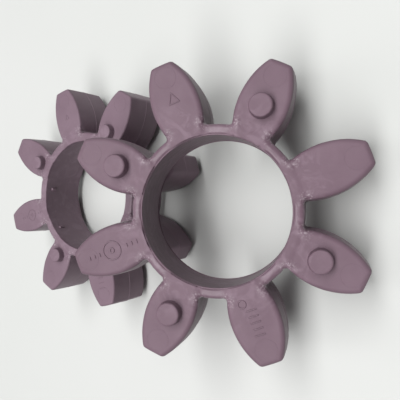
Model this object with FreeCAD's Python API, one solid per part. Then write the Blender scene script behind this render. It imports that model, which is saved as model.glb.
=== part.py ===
"""Two flexible inserts ("spiders") of a curved-jaw shaft coupling, of neighbouring sizes.

Each spider is one elastomer moulding: a ring round an open bore, with eight crowned teeth that sit
between the claws of two coupling hubs, and short round studs that keep the hubs apart. The studs
stand in turn on the top and on the bottom of the teeth. The small spider lies flat. The large one
leans on it: its left teeth rest on the small spider and a right tooth stands on the table.

Millimetres, +Z up, Z = 0 on the table, origin on the table below the middle of the pair.
"""
import FreeCAD, Part
import math
import os

Vector = FreeCAD.Vector
CENTRE = Vector(0, 0, 0)
UP = Vector(0, 0, 1)
DOWN = Vector(0, 0, -1)

TEETH = 8
TOOTH_PITCH = 360.0 / TEETH
HAIR = 1e-3                    # how exactly two heights or radii have to agree

# Sizes of the large spider (for hubs of 105 mm outside diameter).
LARGE = {
    "bore_radius": 25.5,
    "ring_radius": 29.0,
    "tip_radius": 52.2,
    "flank_radius": 24.9,
    "tooth_half_width": 8.2,
    "widest_radius": 37.9,
    "body_height": 21.0,
    "stud_height": 3.5,
    "stud_radius": 4.1,
    "stud_circle": 37.2,
    "root_round": 1.2,
    "tip_round": 1.9,
    "edge_round": 1.35,
    "bore_round": 0.4,
    "stud_round": 0.35,
}

# Sizes of the small spider (for hubs of 95 mm outside diameter).
SMALL = {
    "bore_radius": 23.3,
    "ring_radius": 27.0,
    "tip_radius": 47.2,
    "flank_radius": 24.0,
    "tooth_half_width": 7.0,
    "widest_radius": 34.8,
    "body_height": 20.0,
    "stud_height": 3.0,
    "stud_radius": 3.1,
    "stud_circle": 30.0,
    "root_round": 1.1,
    "tip_round": 1.3,
    "edge_round": 0.75,
    "bore_round": 0.35,
    "stud_round": 0.3,
}

# How the pair lies. Angles are degrees from +X, seen from above.
SMALL_TURN = 100.6             # its first tooth, which carries a lower stud, points this way
LARGE_TURN = 106.0             # the same for the large spider, before it leans
LARGE_LEAN = 19.6              # angle of the large spider's axis from upright
LARGE_LEAN_TOWARDS = -2.7      # direction that its axis leans to
LARGE_FROM_SMALL = Vector(64.0, -10.5, 0)   # from the small spider's axis to the large one's


def polar(radius, degrees, height=0.0):
    angle = math.radians(degrees)
    return Vector(radius * math.cos(angle), radius * math.sin(angle), height)


def disc(spider, radius, centre=CENTRE):
    """A disc as thick as the spider's body, at the height of the body."""
    base = Vector(centre.x, centre.y, spider["stud_height"])
    return Part.makeCylinder(radius, spider["body_height"], base, UP)


def crowned_tooth(spider):
    """One tooth along +X: the space between two flank arcs, cut off at the tip radius."""
    offset = spider["flank_radius"] - spider["tooth_half_width"]
    left = disc(spider, spider["flank_radius"], Vector(spider["widest_radius"], -offset, 0))
    right = disc(spider, spider["flank_radius"], Vector(spider["widest_radius"], offset, 0))
    return left.common(right).common(disc(spider, spider["tip_radius"]))


def ring_with_teeth(spider):
    tooth = crowned_tooth(spider)
    solid = disc(spider, spider["ring_radius"])
    for index in range(TEETH):
        turned = tooth.copy()
        turned.rotate(CENTRE, UP, index * TOOTH_PITCH)
        solid = solid.fuse(turned)
    return solid.cut(disc(spider, spider["bore_radius"])).removeSplitter()


def distance_from_axis(edge):
    first, last = edge.Vertexes[0].Point, edge.Vertexes[-1].Point
    return math.hypot(first.x + last.x, first.y + last.y) / 2


def upright_edges(solid, inner, outer):
    """The upright edges that stand between two distances from the axis."""
    upright = [edge for edge in solid.Edges if edge.BoundBox.ZLength > 1]
    return [edge for edge in upright if inner < distance_from_axis(edge) < outer]


def round_corners(solid, spider):
    """Round the upright corners: the tooth tips outside, then the tooth roots inside."""
    bore = spider["bore_radius"] + HAIR
    halfway = (spider["ring_radius"] + spider["tip_radius"]) / 2
    tips = upright_edges(solid, halfway, 2 * halfway)
    solid = solid.makeFillet(spider["tip_round"], tips)
    roots = upright_edges(solid, bore, halfway)
    return solid.makeFillet(spider["root_round"], roots)


def is_on_bore(edge, spider):
    corner = edge.Vertexes[0].Point
    return abs(math.hypot(corner.x, corner.y) - spider["bore_radius"]) < HAIR


def face_edges(solid, spider, on_bore):
    """The edges of the top and bottom faces, either round the bore or round the outside."""
    faces = (spider["stud_height"], spider["stud_height"] + spider["body_height"])
    level = [edge for edge in solid.Edges if edge.BoundBox.ZLength < HAIR]
    level = [edge for edge in level if min(abs(edge.BoundBox.ZMin - z) for z in faces) < HAIR]
    return [edge for edge in level if is_on_bore(edge, spider) == on_bore]


def round_faces(solid, spider):
    """Round the edges of the top and bottom faces, widely outside and finely at the bore."""
    solid = solid.makeFillet(spider["edge_round"], face_edges(solid, spider, on_bore=False))
    return solid.makeFillet(spider["bore_round"], face_edges(solid, spider, on_bore=True))


def stud(spider, degrees, direction):
    """A spacer stud, rooted in the middle of the tooth, with a rounded outer end."""
    middle = spider["stud_height"] + spider["body_height"] / 2
    root = polar(spider["stud_circle"], degrees, middle)
    pin = Part.makeCylinder(spider["stud_radius"], middle, root, direction)
    ends = [edge for edge in pin.Edges if edge.BoundBox.ZLength < HAIR]
    outer_end = max(ends, key=lambda edge: edge.BoundBox.ZMin * direction.z)
    return pin.makeFillet(spider["stud_round"], [outer_end])


def spider_solid(spider):
    """The whole moulding upright on its axis, standing on its lower studs."""
    solid = round_faces(round_corners(ring_with_teeth(spider), spider), spider)
    for index in range(TEETH):
        direction = UP if index % 2 else DOWN
        solid = solid.fuse(stud(spider, -index * TOOTH_PITCH, direction))
    return solid.removeSplitter()


def small_lying_flat():
    solid = spider_solid(SMALL)
    solid.rotate(CENTRE, UP, SMALL_TURN)
    return solid


def large_leaning():
    """The large spider turned about its axis, leant over and set down on the table."""
    solid = spider_solid(LARGE)
    solid.rotate(CENTRE, UP, LARGE_TURN)
    solid.rotate(CENTRE, polar(1, LARGE_LEAN_TOWARDS + 90), LARGE_LEAN)
    solid.translate(LARGE_FROM_SMALL)
    lowest = solid.optimalBoundingBox(False, False).ZMin
    solid.translate(Vector(0, 0, -lowest))
    return solid


def main():
    pieces = {"small_spider": small_lying_flat(), "large_spider": large_leaning()}
    boxes = [shape.optimalBoundingBox(False, False) for shape in pieces.values()]
    pair = boxes[0].united(boxes[1])
    os.makedirs("parts", exist_ok=True)
    for name, shape in pieces.items():
        shape.translate(Vector(-pair.Center.x, -pair.Center.y, 0))
        shape.exportStep("parts/" + name + ".step")
        print(name, "valid" if shape.isValid() else "NOT VALID", "volume", round(shape.Volume), "mm3")
    print("small spider's axis at", -pair.Center.x, -pair.Center.y, "overall", pair)


main()
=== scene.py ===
"""Looks of two coupling spiders: a small one that lies flat and a large one that leans on it.

Each moulding is made as a distance field in its own frame, in millimetres: tooth A along +X, the axis
along +Z and Z = 0 in the middle of the body. The mesh is then laid down where the CAD solid is.
"""

import math

import bpy
import numpy as np
from mathutils import Matrix, Vector


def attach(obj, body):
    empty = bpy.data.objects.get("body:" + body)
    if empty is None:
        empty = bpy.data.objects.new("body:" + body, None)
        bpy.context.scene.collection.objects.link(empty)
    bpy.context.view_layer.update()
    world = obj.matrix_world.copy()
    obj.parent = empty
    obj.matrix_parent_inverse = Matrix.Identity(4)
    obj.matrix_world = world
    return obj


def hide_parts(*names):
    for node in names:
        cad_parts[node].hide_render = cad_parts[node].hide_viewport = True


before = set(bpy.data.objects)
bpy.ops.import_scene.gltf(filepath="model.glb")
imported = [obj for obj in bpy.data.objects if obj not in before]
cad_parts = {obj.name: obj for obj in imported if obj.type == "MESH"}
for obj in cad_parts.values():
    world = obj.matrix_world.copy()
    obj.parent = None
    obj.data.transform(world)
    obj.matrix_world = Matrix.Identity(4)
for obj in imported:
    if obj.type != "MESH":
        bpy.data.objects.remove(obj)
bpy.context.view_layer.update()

MM = 0.001
TEETH = 8
PITCH = 2 * math.pi / TEETH
TOOTH = {name: index for index, name in enumerate("ABCDEFGH")}

LARGE = {
    "bore_radius": 25.5,
    "ring_radius": 29.0,
    "tip_radius": 52.6,
    "flank_radius": 25.4,
    "tooth_half_width": 8.3,
    "crown": 0.55,
    "widest_radius": 37.9,
    "body_height": 21.0,
    "stud_height": 3.5,
    "stud_radius": 4.1,
    "stud_circle": 37.2,
    "root_round": 1.3,
    "tip_round": 0.5,
    "edge_round": 1.6,
    "rim_round": 0.3,
    "stud_round": 0.6,
    "stud_draft": 0.06,
    "bead_drop": 0.25,
    "bead_round": 1.7,
    "bead_rim_round": 1.0,
    "nib_turns": (),
    "lip_heights": (9.75, -9.75),
    "lip_half_width": 0.32,
    "ejector_radius": 3.7,
    "mark_half_width": 0.26,
    "grid": 0.52,
}

SMALL = {
    "bore_radius": 23.3,
    "ring_radius": 27.0,
    "tip_radius": 47.4,
    "flank_radius": 24.0,
    "tooth_half_width": 7.0,
    "crown": 0.2,
    "widest_radius": 34.8,
    "body_height": 20.0,
    "stud_height": 3.0,
    "stud_radius": 3.1,
    "stud_circle": 30.0,
    "root_round": 1.1,
    "tip_round": 0.5,
    "edge_round": 0.8,
    "rim_round": 0.35,
    "stud_round": 0.45,
    "stud_draft": 0.06,
    "bead_drop": 0.0,
    "bead_round": 0.9,
    "bead_rim_round": 0.35,
    "nib_turns": (67.5, 112.5),
    "nib_height": 5.5,
    "lip_heights": (),
    "ejector_radius": 3.0,
    "mark_half_width": 0.14,
    "grid": 0.48,
}

# Where the spiders lie, as in the CAD: axis position in millimetres, turns in degrees.
SMALL_AT = (-36.499, 7.452, 0.0)
SMALL_TURN = 100.6
LARGE_AT = (27.501, -3.048, 13.194)
LARGE_TURN = 106.0
LARGE_LEAN = 19.6
LARGE_LEAN_AXIS = 87.3

# Details of both mouldings, in millimetres.
STUD_FILLET = 0.25
NIB_HALF_WIDTH = 0.55
NIB_HALF_HEIGHT = 1.2
NIB_DEPTH = 0.7
NIB_ROUND = 0.4
NIB_FILLET = 0.3
EJECTOR_INSET = 4.9
EJECTOR_HALF_WIDTH = 0.045
PARTING_HALF_WIDTH = 0.09
WRINKLED_REACH = 4.5
# Reach of the roots' glossy, crinkled patches and their painted glints.
WRINKLE_AND_GLINT_REACH = 3.6

# Where the side of a tooth meets the ring, as a share of the tooth's half width.
ROOT_SHARE = 0.8

# Relief of the surface: height and wavelength in millimetres, and the seed of the ripples.
WAVES = (0.03, 14, 3)
FINE_WAVES = (0.012, 5, 4)
WRINKLES = (0.07, 2.2, 5)
STREAKS = (0.012, 0.01)

# Finish of the elastomer, and the painted glints and painted sheen that pale its colour.
FACE_ROUGHNESS = 0.62
FACE_ROUGHNESS_SPREAD = 0.04
WALL_ROUGHNESS = 0.42
BEAD_ROUGHNESS = 0.36
ROOT_ROUGHNESS = 0.3
SPECULAR = 0.3
# Pale colour of the painted glints on the roots.
GLINT_COLOUR = (0.42, 0.36, 0.39, 1)
SWIRL_SHEEN_SHARE = 0.55
GLINT_SHARE = 0.45

# Base, dark and pale colours, as display values of 0 to 255. The pale one is the painted sheen of the swirls.
# The small spider's colours are paler than the large one's: painted light, for the brighter light on the left
# of the pair, where the small one lies.
SMALL_COLOURS = ((111, 92, 103), (104, 85, 96), (124, 105, 117))
LARGE_COLOURS = ((106, 86, 97), (99, 79, 90), (122, 102, 114))
# The seam's colours are paler than the body's: a painted highlight along the parting line's ridge.
SEAM_HIGHLIGHT_COLOURS = ((130, 110, 122), (120, 100, 112), (138, 118, 130))

# Scales of the noise in the materials, in waves per metre.
MOTTLE_SCALE = 90.0
SWIRL_SCALE = 170.0
PATCH_SCALE = 240.0
CRINKLE_SCALE = 1100.0
GLINT_SCALE = 1500.0
GRAIN_SCALE = 2600.0

# The table and the light.
TABLE_HALF_SIZE = 1.6
TABLE_DARK = (0.49, 0.50, 0.485, 1)
TABLE_PALE = (0.51, 0.515, 0.505, 1)
TABLE_ROUGHNESS = 0.6
TABLE_SPECULAR = 0.2
WORLD_STRENGTH = 0.19
CEILING_POWER = 55
LEFT_POWER = 8

# The camera: place in millimetres, directions, and focal length in millimetres.
CAMERA_AT = (119.977, -3.215, 178.826)
CAMERA_FORWARD = (-0.53194, 0.02383, -0.84645)
CAMERA_UP = (0.07598, 0.99692, -0.01968)
CAMERA_LENS = 45.40
CAMERA_SENSOR = 36


def middle_height(spider):
    return spider["stud_height"] + spider["body_height"] / 2


def lay_down(spider, at, turn, lean=0.0, lean_axis=0.0):
    """The matrix that takes a spider's own frame, in metres, to where it lies."""
    angle = math.radians(lean_axis)
    tilt = Matrix.Rotation(math.radians(lean), 4, (math.cos(angle), math.sin(angle), 0))
    spin = Matrix.Rotation(math.radians(turn), 4, "Z")
    up = Matrix.Translation((0, 0, middle_height(spider) * MM))
    return Matrix.Translation(Vector(at) * MM) @ tilt @ spin @ up


# ---- distance fields ----

def round_common(a, b, k):
    """Where two fields meet, with the outer edge rounded."""
    return np.minimum(-k, np.maximum(a, b)) + np.hypot(np.maximum(k + a, 0), np.maximum(k + b, 0))


def round_union(a, b, k):
    """Two fields joined, with the inner corner filled."""
    return np.maximum(k, np.minimum(a, b)) - np.hypot(np.maximum(k - a, 0), np.maximum(k - b, 0))


def smooth_step(value, low, high):
    share = np.clip((value - low) / (high - low), 0, 1)
    return share * share * (3 - 2 * share)


def on_nearest_tooth(points):
    """Distance along and beside the nearest tooth's line, radius, and +1 where its stud is on top."""
    x, y = points[..., 0], points[..., 1]
    radius = np.hypot(x, y)
    turns = np.arctan2(y, x) / PITCH
    index = np.round(turns)
    angle = (turns - index) * PITCH
    return radius * np.cos(angle), np.abs(radius * np.sin(angle)), radius, 2 * (index % 2) - 1


def outline(spider, along, across, radius):
    """Plan outline of one crowned tooth: two flank arcs, cut off at the tip radius."""
    offset = spider["flank_radius"] - spider["tooth_half_width"]
    flank = np.hypot(along - spider["widest_radius"], across + offset) - spider["flank_radius"]
    return round_common(flank, radius - spider["tip_radius"], spider["tip_round"])


def body(spider, points):
    """The moulding's ideal shape: teeth with a crown along the axis, ring, bore, studs and nibs."""
    along, across, radius, side = on_nearest_tooth(points)
    depth = np.abs(points[..., 2])
    half = spider["body_height"] / 2
    swell = spider["crown"] * (1 - (depth / half) ** 2)
    tooth = round_common(outline(spider, along, across, radius) - swell, depth - half, spider["edge_round"])
    ring_top = depth - half + spider["bead_drop"]
    ring = round_common(radius - spider["ring_radius"], ring_top, spider["bead_round"])
    solid = round_union(tooth, ring, spider["root_round"])
    solid = round_common(solid, spider["bore_radius"] - radius, bore_rim(spider, across))
    stud = stud_on_tooth(spider, along, across, side * points[..., 2])
    return with_nibs(spider, round_union(solid, stud, STUD_FILLET), points)


def bore_rim(spider, across):
    """Rounding of the bore's rims: small beside the teeth and large on the beads between them."""
    root_half_width = spider["tooth_half_width"] * ROOT_SHARE
    on_bead = smooth_step(across, root_half_width - 1.0, root_half_width + 1.0)
    return spider["rim_round"] + (spider["bead_rim_round"] - spider["rim_round"]) * on_bead


def stud_on_tooth(spider, along, across, height):
    """A drafted stud, given the height above the body's middle on the side that it stands on."""
    half = spider["body_height"] / 2
    pin = np.hypot(along - spider["stud_circle"], across) - spider["stud_radius"]
    pin = pin + spider["stud_draft"] * (height - half)
    return round_common(pin, np.maximum(height - half - spider["stud_height"], -height), spider["stud_round"])


def with_nibs(spider, solid, points):
    """Small raised nibs on the bore wall, midway between teeth."""
    for turn in spider["nib_turns"]:
        angle = math.radians(turn)
        inward = spider["bore_radius"] - points[..., 0] * math.cos(angle) - points[..., 1] * math.sin(angle)
        beside = points[..., 1] * math.cos(angle) - points[..., 0] * math.sin(angle)
        above = np.abs(points[..., 2] - spider["nib_height"])
        square = np.maximum(np.abs(beside) - NIB_HALF_WIDTH, above - NIB_HALF_HEIGHT)
        nib = round_common(square, np.abs(inward) - NIB_DEPTH, NIB_ROUND)
        solid = round_union(solid, nib, NIB_FILLET)
    return solid


def ripples(points, wavelength, seed):
    """Smooth irregular ripples, between about -1 and 1."""
    draw = np.random.default_rng(seed)
    total = 0
    for _ in range(7):
        direction = draw.normal(size=3)
        direction *= 2 * math.pi / wavelength * draw.uniform(0.7, 1.4) / np.linalg.norm(direction)
        total = total + np.sin(points @ direction + draw.uniform(0, 2 * math.pi))
    return total / 3


def waves(points, kind):
    height, wavelength, seed = kind
    return height * ripples(points, wavelength, seed)


def near_roots(spider, points, reach):
    """1 on the upper and lower corners where a tooth leaves the ring, falling to 0 over the reach."""
    along, across, radius, side = on_nearest_tooth(points)
    corner = spider["tooth_half_width"] * ROOT_SHARE
    beside = np.hypot(along - spider["ring_radius"], across - corner)
    away = np.hypot(beside, (np.abs(points[..., 2]) - spider["body_height"] / 2) * 0.8)
    return 1 - smooth_step(away, 0.3 * reach, reach)


def bore_streaks(spider, points):
    """Faint rings round the bore wall, left by the core pin."""
    radius = np.hypot(points[..., 0], points[..., 1])
    on_wall = 1 - smooth_step(radius - spider["bore_radius"], 0.1, 0.5)
    height = points[..., 2]
    broad, fine = STREAKS
    return on_wall * (broad * np.sin(height * 1.9) + fine * np.sin(height * 4.3 + 1) * np.sin(height * 0.7))


def relief(spider, points):
    """How far the moulding stands out of its ideal shape: sink, waviness and wrinkles at the roots."""
    wavy = waves(points, WAVES) + waves(points, FINE_WAVES)
    wrinkled = waves(points, WRINKLES) * near_roots(spider, points, WRINKLED_REACH)
    return wavy + wrinkled + bore_streaks(spider, points)


# ---- meshes ----

def surface_net(inside):
    """A quad round every grid edge that crosses the surface. Gives the crossed cells and the quads."""
    nx, ny, nz = (count - 1 for count in inside.shape)
    corners = [(i, j, k) for i in (0, 1) for j in (0, 1) for k in (0, 1)]
    total = sum(inside[i:nx + i, j:ny + j, k:nz + k].astype(np.int8) for i, j, k in corners)
    crossed = (total > 0) & (total < len(corners))
    number = np.full(crossed.shape, -1)
    number[crossed] = np.arange(np.count_nonzero(crossed))
    quads = []
    for order in ((0, 1, 2), (1, 2, 0), (2, 0, 1)):
        cells, full = number.transpose(order), inside.transpose(order)
        low, high = full[:-1, 1:-1, 1:-1], full[1:, 1:-1, 1:-1]
        for edges, step in ((low & ~high, 1), (~low & high, -1)):
            i, u, v = np.nonzero(edges)
            ring = (cells[i, u, v], cells[i, u + 1, v], cells[i, u + 1, v + 1], cells[i, u, v + 1])
            quads.append(np.stack(ring[::step], axis=1))
    return np.argwhere(crossed), np.concatenate(quads)


def slope(field, points, step=0.02):
    """Gradient of a field by central differences."""
    shifts = np.eye(3) * step
    return np.stack([(field(points + s) - field(points - s)) / (2 * step) for s in shifts], axis=-1)


def on_surface(field, points, rounds):
    for _ in range(rounds):
        lean = slope(field, points)
        steepness = np.maximum((lean * lean).sum(axis=-1), 0.2)
        points = points - (field(points) / steepness)[:, None] * lean
    return points


def evened(points, quads):
    """Every corner moved half way to the middle of its neighbours."""
    count = np.zeros(len(points))
    total = np.zeros_like(points)
    for a, b in ((0, 1), (1, 2), (2, 3), (3, 0)):
        for here, there in ((quads[:, a], quads[:, b]), (quads[:, b], quads[:, a])):
            count += np.bincount(here, minlength=len(points))
            for axis in range(3):
                total[:, axis] += np.bincount(here, points[there, axis], len(points))
    return (points + total / count[:, None]) / 2


def laid(points, matrix):
    """Points in millimetres in a spider's own frame, laid down, in metres."""
    return points * MM @ np.array(matrix.to_3x3()).T + np.array(matrix.translation)


def field_mesh(name, field, low, high, grid, matrix):
    """A mesh, laid down, of the surface where the field is zero, with the field's own normals."""
    axes = [np.arange(a, b, grid) for a, b in zip(low, high)]
    inside = field(np.stack(np.meshgrid(*axes, indexing="ij"), axis=-1)) < 0
    cells, quads = surface_net(inside)
    points = np.array([axis[0] for axis in axes]) + (cells + 0.5) * grid
    for _ in range(3):
        points = evened(on_surface(field, points, 1), quads)
    points = on_surface(field, points, 4)
    normals = slope(field, points)
    normals /= np.maximum(np.linalg.norm(normals, axis=1), 1e-6)[:, None]
    mesh = bpy.data.meshes.new(name)
    mesh.from_pydata(laid(points, matrix).tolist(), [], quads.tolist())
    mesh.polygons.foreach_set("use_smooth", [True] * len(quads))
    mesh.normals_split_custom_set_from_vertices((normals @ np.array(matrix.to_3x3()).T).tolist())
    return mesh, points


def moulded(spider):
    """The distance field of a spider as it came out of the mould."""
    return lambda points: body(spider, points) - relief(spider, points)


def polish(spider, points):
    """1 on the glossy beads between the teeth and 0 elsewhere."""
    along, across, radius, side = on_nearest_tooth(points)
    bead = smooth_step(across, spider["tooth_half_width"] * 0.75, spider["tooth_half_width"] * 0.9)
    bead *= 1 - smooth_step(radius, spider["ring_radius"] - 0.5, spider["ring_radius"] + 0.8)
    top = spider["body_height"] / 2
    return bead * smooth_step(np.abs(points[..., 2]), top - 2.5, top - 1)


def wrinkle(spider, points):
    """1 in the wrinkled patches where the teeth leave the ring, which are glossy, crinkled and carry painted
    glints, and 0 elsewhere.
    """
    return near_roots(spider, points, WRINKLE_AND_GLINT_REACH)


def flow(spider, points):
    """1 on the inner half of the faces, where the melt's flow marks show their sheen, painted as paler
    swirls, and 0 at the tips.
    """
    along, across, radius, side = on_nearest_tooth(points)
    return 1 - smooth_step(along, spider["ring_radius"] + 2, spider["stud_circle"] + 6)


def face(spider, points):
    """1 on the upper and lower faces, which are textured and matt, and 0 down the walls."""
    top = spider["body_height"] / 2
    return smooth_step(np.abs(points[..., 2]), top - 1.6, top - 0.3)


def moulding_mesh(name, spider, matrix):
    """A moulding's mesh with its masks. The grid reaches past the crowned tips and the studs."""
    reach = spider["tip_radius"] + 3
    top = middle_height(spider) + 2
    corner = np.array((reach, reach, top))
    grid = spider["grid"] * 1
    mesh, points = field_mesh(name, moulded(spider), -corner, corner, grid, matrix)
    for mask in (polish, wrinkle, flow, face):
        values = mesh.attributes.new(mask.__name__, "FLOAT", "POINT").data
        values.foreach_set("value", mask(spider, points).astype(np.float32))
    return mesh


# ---- lines moulded on the surface ----

def on_tooth(tooth, along, across, height):
    """A point given along and beside a tooth's own line."""
    angle = -TOOTH[tooth] * PITCH
    return (along * math.cos(angle) - across * math.sin(angle),
            along * math.sin(angle) + across * math.cos(angle), height)


def line_on_tooth(spider, tooth, corners, parts=8):
    """A straight line between corners on a tooth's upper face, in short steps."""
    top = spider["body_height"] / 2
    steps = []
    for (a, b), (c, d) in zip(corners, corners[1:]):
        steps += [(a + (c - a) * k / parts, b + (d - b) * k / parts) for k in range(parts)]
    return [on_tooth(tooth, u, v, top) for u, v in steps + [corners[-1]]]


def circle_on_tooth(spider, tooth, along, across, radius, parts=40):
    """A circle on a tooth's upper face."""
    top = spider["body_height"] / 2
    turns = [2 * math.pi * k / parts for k in range(parts)]
    return [on_tooth(tooth, along + radius * math.cos(t), across + radius * math.sin(t), top) for t in turns]


def half_parting(spider, step=0.5):
    """Points a step apart round the middle of the moulding, from a tip to the middle of the next gap."""
    field = moulded(spider)
    path = [np.array((spider["tip_radius"], 0.0, 0.0))]
    while math.atan2(path[-1][1], path[-1][0]) < PITCH / 2:
        outward = slope(field, path[-1][None])[0] * (1, 1, 0)
        ahead = path[-1] + np.cross((0, 0, 1), outward / np.linalg.norm(outward)) * step
        path.append(on_surface(field, ahead[None], 2)[0] * (1, 1, 0))
    return np.array(path[:-1])


def parting(spider):
    """The closed line round a moulding where the two halves of the mould met."""
    half = half_parting(spider)
    pitch = np.concatenate([half[:0:-1] * (1, -1, 1), half])
    turned = []
    for index in range(TEETH):
        c, s = math.cos(index * PITCH), math.sin(index * PITCH)
        turned.append(pitch @ np.array([[c, s, 0], [-s, c, 0], [0, 0, 1]]))
    return np.concatenate(turned)


def ridges(name, spider, matrix, lines, half_width, rounds=3):
    """A mesh of low round ridges that follow the moulding's surface. A line is (points, closed)."""
    curve = bpy.data.curves.new(name + "_curve", "CURVE")
    curve.dimensions = "3D"
    curve.bevel_depth = half_width * MM
    curve.bevel_resolution = 2
    curve.use_fill_caps = True
    for points, closed in lines:
        placed = laid(on_surface(moulded(spider), np.array(points, float), rounds), matrix)
        spline = curve.splines.new("POLY")
        spline.points.add(len(placed) - 1)
        spline.points.foreach_set("co", np.hstack([placed, np.ones((len(placed), 1))]).ravel())
        spline.use_cyclic_u = closed
    carrier = bpy.data.objects.new(name + "_curve", curve)
    mesh = bpy.data.meshes.new_from_object(carrier)
    mesh.name = name
    bpy.data.objects.remove(carrier)
    for polygon in mesh.polygons:
        polygon.use_smooth = True
    return mesh


def emblem(spider, tooth, along, size):
    """A plain ring with a dot in it and dashes on both sides."""
    lines = [(circle_on_tooth(spider, tooth, along, 0, size), True),
             (circle_on_tooth(spider, tooth, along, 0, size * 0.25, 12), True)]
    for start in (-3.0, -2.4, -1.8, 1.5, 2.1, 2.7):
        u = along + start * size
        lines.append((line_on_tooth(spider, tooth, ((u, -0.2 * size), (u, 0.2 * size))), False))
    return lines


def bars(spider, tooth, start, end, count, half_length):
    """A row of plain bars across a tooth."""
    places = np.linspace(start, end, count)
    return [(line_on_tooth(spider, tooth, ((u, -half_length), (u, half_length))), False) for u in places]


def pointer(spider, tooth, along, size):
    """A plain triangle that points at the tip."""
    low, high, half = along - size / 2, along + size / 2, size / 2
    two_sides = line_on_tooth(spider, tooth, ((low, -half), (low, half), (high, 0)))
    third_side = line_on_tooth(spider, tooth, ((high, 0), (low, -half)))
    return [(two_sides[:-1] + third_side[:-1], True)]


def lips(spider, parts=240):
    """Rings of flash that stand a little way into the bore."""
    radius = spider["bore_radius"]
    turns = [2 * math.pi * k / parts for k in range(parts)]
    circle = [(radius * math.cos(t), radius * math.sin(t)) for t in turns]
    return [([(x, y, height) for x, y in circle], True) for height in spider["lip_heights"]]


# ---- materials ----

# A mix node's colour sockets, by place, because its other kinds have sockets of the same names.
COLOUR_A = 6
COLOUR_B = 7
COLOUR_RESULT = 2


def node(tree, kind, **settings):
    """A shader node. A setting is a property, or an input where the node has one of that name."""
    made = tree.nodes.new(kind)
    for key, value in settings.items():
        if hasattr(made, key):
            setattr(made, key, value)
        else:
            made.inputs[key.replace("_", " ").title()].default_value = value
    return made


def colour(red, green, blue):
    """Linear colour from display values of 0 to 255."""
    def linear(value):
        share = value / 255
        return share / 12.92 if share <= 0.04045 else ((share + 0.055) / 1.055) ** 2.4
    return (linear(red), linear(green), linear(blue), 1)


def ramp(tree, source, stops):
    made = tree.nodes.new("ShaderNodeValToRGB")
    points = made.color_ramp.elements
    while len(points) < len(stops):
        points.new(0.5)
    for point, (position, shade) in zip(points, stops):
        point.position = position
        point.color = shade
    tree.links.new(source, made.inputs["Fac"])
    return made.outputs["Color"]


def noise(tree, coordinates, scale, detail=3.0, roughness=0.5, distortion=0.0):
    made = node(tree, "ShaderNodeTexNoise",
                scale=scale, detail=detail, roughness=roughness, distortion=distortion)
    tree.links.new(coordinates, made.inputs["Vector"])
    return made.outputs["Fac"]


def bump(tree, height, strength, distance, below=None):
    made = node(tree, "ShaderNodeBump", strength=strength, distance=distance)
    tree.links.new(height, made.inputs["Height"])
    if below is not None:
        tree.links.new(below, made.inputs["Normal"])
    return made.outputs["Normal"]


def masked(tree, name):
    return node(tree, "ShaderNodeAttribute", attribute_name=name).outputs["Fac"]


def blend_numbers(tree, share, low, high):
    """low where the share is 0 and high where it is 1. Either may be a number or a socket."""
    made = node(tree, "ShaderNodeMix", data_type="FLOAT")
    tree.links.new(share, made.inputs["Factor"])
    for socket, value in (("A", low), ("B", high)):
        if isinstance(value, float):
            made.inputs[socket].default_value = value
        else:
            tree.links.new(value, made.inputs[socket])
    return made.outputs["Result"]


def product(tree, a, b):
    made = node(tree, "ShaderNodeMath", operation="MULTIPLY")
    tree.links.new(a, made.inputs[0])
    if isinstance(b, float):
        made.inputs[1].default_value = b
    else:
        tree.links.new(b, made.inputs[1])
    return made.outputs["Value"]


def blend_colours(tree, share, low, high):
    """The colour low where the share is 0 and the fixed colour high where it is 1."""
    made = node(tree, "ShaderNodeMix", data_type="RGBA")
    tree.links.new(share, made.inputs["Factor"])
    tree.links.new(low, made.inputs[COLOUR_A])
    made.inputs[COLOUR_B].default_value = high
    return made.outputs[COLOUR_RESULT]


def grey(value):
    return (value, value, value, 1)


def elastomer_colour(tree, place, base, dark, pale):
    """Soft mottle, with paler swirls on the inner half of the faces as painted sheen of the flow marks, and
    pale specks at the roots as painted glints.
    """
    mottle = noise(tree, place, MOTTLE_SCALE, 4.0, 0.55)
    shade = ramp(tree, mottle, ((0.3, dark), (0.7, base)))
    stirred = noise(tree, place, SWIRL_SCALE, 5.0, 0.6, 1.6)
    # Painted sheen: paler swirls on the inner half of the faces.
    swirl = product(tree, ramp(tree, stirred, ((0.47, grey(0)), (0.66, grey(1)))), masked(tree, "flow"))
    with_sheen = blend_colours(tree, product(tree, swirl, SWIRL_SHEEN_SHARE), shade, pale)
    # Painted glints: pale specks on the wrinkled roots.
    dots = noise(tree, place, GLINT_SCALE, 2.0, 0.5)
    glints = product(tree, ramp(tree, dots, ((0.52, grey(0)), (0.68, grey(1)))), masked(tree, "wrinkle"))
    return blend_colours(tree, product(tree, glints, GLINT_SHARE), with_sheen, GLINT_COLOUR), mottle


def elastomer_roughness(tree, place):
    """Matt faces, satin walls, glossy beads and roots."""
    patches = noise(tree, place, PATCH_SCALE, 3.0, 0.6)
    low, high = FACE_ROUGHNESS - FACE_ROUGHNESS_SPREAD, FACE_ROUGHNESS + FACE_ROUGHNESS_SPREAD
    matt = ramp(tree, patches, ((0.3, grey(low)), (0.75, grey(high))))
    roughness = blend_numbers(tree, masked(tree, "face"), WALL_ROUGHNESS, matt)
    roughness = blend_numbers(tree, masked(tree, "polish"), roughness, BEAD_ROUGHNESS)
    return blend_numbers(tree, masked(tree, "wrinkle"), roughness, ROOT_ROUGHNESS)


def elastomer_bump(tree, place, mottle):
    """Fine grain over soft unevenness, and crinkles at the roots."""
    fine = bump(tree, noise(tree, place, GRAIN_SCALE, 2.0, 0.5), 0.25, 0.00006)
    soft = bump(tree, mottle, 0.2, 0.0004, fine)
    crinkle = product(tree, noise(tree, place, CRINKLE_SCALE, 3.0, 0.6), masked(tree, "wrinkle"))
    return bump(tree, crinkle, 0.7, 0.0004, soft)


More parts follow.
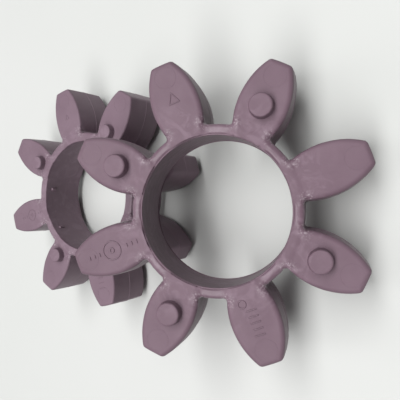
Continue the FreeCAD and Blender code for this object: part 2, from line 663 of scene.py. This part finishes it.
def elastomer(name, base, dark, pale):
    """Mauve moulded polyurethane."""
    material = bpy.data.materials.new(name)
    material.use_nodes = True
    tree = material.node_tree
    shader = tree.nodes["Principled BSDF"]
    place = node(tree, "ShaderNodeTexCoord").outputs["Object"]
    shade, mottle = elastomer_colour(tree, place, colour(*base), colour(*dark), colour(*pale))
    tree.links.new(shade, shader.inputs["Base Color"])
    tree.links.new(elastomer_roughness(tree, place), shader.inputs["Roughness"])
    tree.links.new(elastomer_bump(tree, place, mottle), shader.inputs["Normal"])
    shader.inputs["Specular IOR Level"].default_value = SPECULAR
    return material


def table_top():
    """The table's plain pale top, very faintly clouded."""
    material = bpy.data.materials.new("table_top")
    material.use_nodes = True
    tree = material.node_tree
    shader = tree.nodes["Principled BSDF"]
    place = node(tree, "ShaderNodeTexCoord").outputs["Object"]
    cloud = noise(tree, place, 6.0, 3.0, 0.5)
    shade = ramp(tree, cloud, ((0.3, TABLE_DARK), (0.7, TABLE_PALE)))
    tree.links.new(shade, shader.inputs["Base Color"])
    shader.inputs["Roughness"].default_value = TABLE_ROUGHNESS
    shader.inputs["Specular IOR Level"].default_value = TABLE_SPECULAR
    return material


# ---- pieces ----

def add(name, mesh, material):
    piece = bpy.data.objects.new(name, mesh)
    bpy.context.scene.collection.objects.link(piece)
    mesh.materials.append(material)
    return piece


def ejector_rings(spider):
    """The thin circles that the ejector pins left near the tips."""
    along = spider["tip_radius"] - EJECTOR_INSET
    return [(circle_on_tooth(spider, tooth, along, 0, spider["ejector_radius"]), True) for tooth in TOOTH]


def add_spider(size, spider, matrix, material, seam_highlight, marks):
    """A moulding and the fine lines on it, as pieces that ride together."""
    meshes = {"moulding": moulding_mesh(size + "_moulding", spider, matrix)}
    lines = {
        "marks": (marks, spider["mark_half_width"]),
        "ejector_rings": (ejector_rings(spider), EJECTOR_HALF_WIDTH),
        "parting_line": ([(parting(spider), True)], PARTING_HALF_WIDTH),
    }
    for part, (paths, half_width) in lines.items():
        meshes[part] = ridges(size + "_" + part, spider, matrix, paths, half_width)
    if spider["lip_heights"]:
        name = size + "_bore_lips"
        meshes["bore_lips"] = ridges(name, spider, matrix, lips(spider), spider["lip_half_width"], 0)
    for part, mesh in meshes.items():
        piece = add(size + "_" + part, mesh, seam_highlight if part == "parting_line" else material)
        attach(piece, size)
        if part == "moulding":
            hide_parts(size + "_spider")


# ---- set ----

def add_table():
    size = TABLE_HALF_SIZE
    mesh = bpy.data.meshes.new("table")
    corners = [(-size, -size, 0), (size, -size, 0), (size, size, 0), (-size, size, 0)]
    mesh.from_pydata(corners, [], [(0, 1, 2, 3)])
    add("table", mesh, table_top())


def add_light(name, place, aim, size, power):
    """A white rectangular area light."""
    data = bpy.data.lights.new(name, "AREA")
    data.shape = "RECTANGLE"
    data.size, data.size_y = size
    data.energy = power
    light = bpy.data.objects.new(name, data)
    bpy.context.scene.collection.objects.link(light)
    light.location = place
    light.rotation_euler = (Vector(aim) - Vector(place)).to_track_quat("-Z", "Y").to_euler()


def add_world(strength):
    """Even white light from all round."""
    world = bpy.data.worlds.new("studio")
    world.use_nodes = True
    background = world.node_tree.nodes["Background"]
    background.inputs["Color"].default_value = (1, 1, 1, 1)
    background.inputs["Strength"].default_value = strength
    bpy.context.scene.world = world


def add_camera():
    """The camera looks down on the pair from the right, with the picture's up along +Y."""
    place = Vector(CAMERA_AT) * MM
    forward = Vector(CAMERA_FORWARD).normalized()
    right = forward.cross(Vector(CAMERA_UP)).normalized()
    up = right.cross(forward)
    data = bpy.data.cameras.new("camera")
    data.sensor_width = CAMERA_SENSOR
    data.lens = CAMERA_LENS
    data.clip_start = 0.01
    data.clip_end = 20
    camera = bpy.data.objects.new("camera", data)
    bpy.context.scene.collection.objects.link(camera)
    turned = Matrix((right, up, -forward)).transposed().to_4x4()
    camera.matrix_world = Matrix.Translation(place) @ turned
    bpy.context.scene.camera = camera


def marks_on(spider, ring, rows, triangle):
    """Plain marks: a ring on tooth G, bars on tooth E and a triangle on tooth A."""
    return emblem(spider, "G", *ring) + bars(spider, "E", *rows) + pointer(spider, "A", *triangle)


def add_spiders():
    """Both spiders. A mark's numbers are places along its tooth, how many bars, and sizes in millimetres."""
    # The small spider's paler copy of the mauve is painted light, for the brighter light on its side.
    small_mauve = elastomer("small_elastomer", *SMALL_COLOURS)
    large_mauve = elastomer("large_elastomer", *LARGE_COLOURS)
    # The parting line gets paler colours than the body: a painted highlight along its ridge.
    seam_highlight = elastomer("seam_painted_highlight", *SEAM_HIGHLIGHT_COLOURS)
    small_marks = marks_on(SMALL, (34.0, 2.4), (31.0, 40.0, 5, 1.4), (35.5, 2.0))
    large_marks = marks_on(LARGE, (38.4, 3.2), (34.0, 42.4, 5, 1.7), (40.4, 3.6))
    large_marks.append((circle_on_tooth(LARGE, "E", 31.4, -2.3, 1.3), True))
    small_place = lay_down(SMALL, SMALL_AT, SMALL_TURN)
    large_place = lay_down(LARGE, LARGE_AT, LARGE_TURN, LARGE_LEAN, LARGE_LEAN_AXIS)
    add_spider("small", SMALL, small_place, small_mauve, seam_highlight, small_marks)
    add_spider("large", LARGE, large_place, large_mauve, seam_highlight, large_marks)


def main():
    add_spiders()
    add_table()
    add_world(WORLD_STRENGTH)
    add_light("ceiling", (0.13, 0.0, 1.6), (0.13, 0, 0), (0.55, 3.4), CEILING_POWER)
    add_light("left", (-0.95, 0.0, 1.35), (0, 0, 0), (0.5, 2.4), LEFT_POWER)
    add_camera()
    bpy.context.scene.view_settings.view_transform = "Standard"


main()
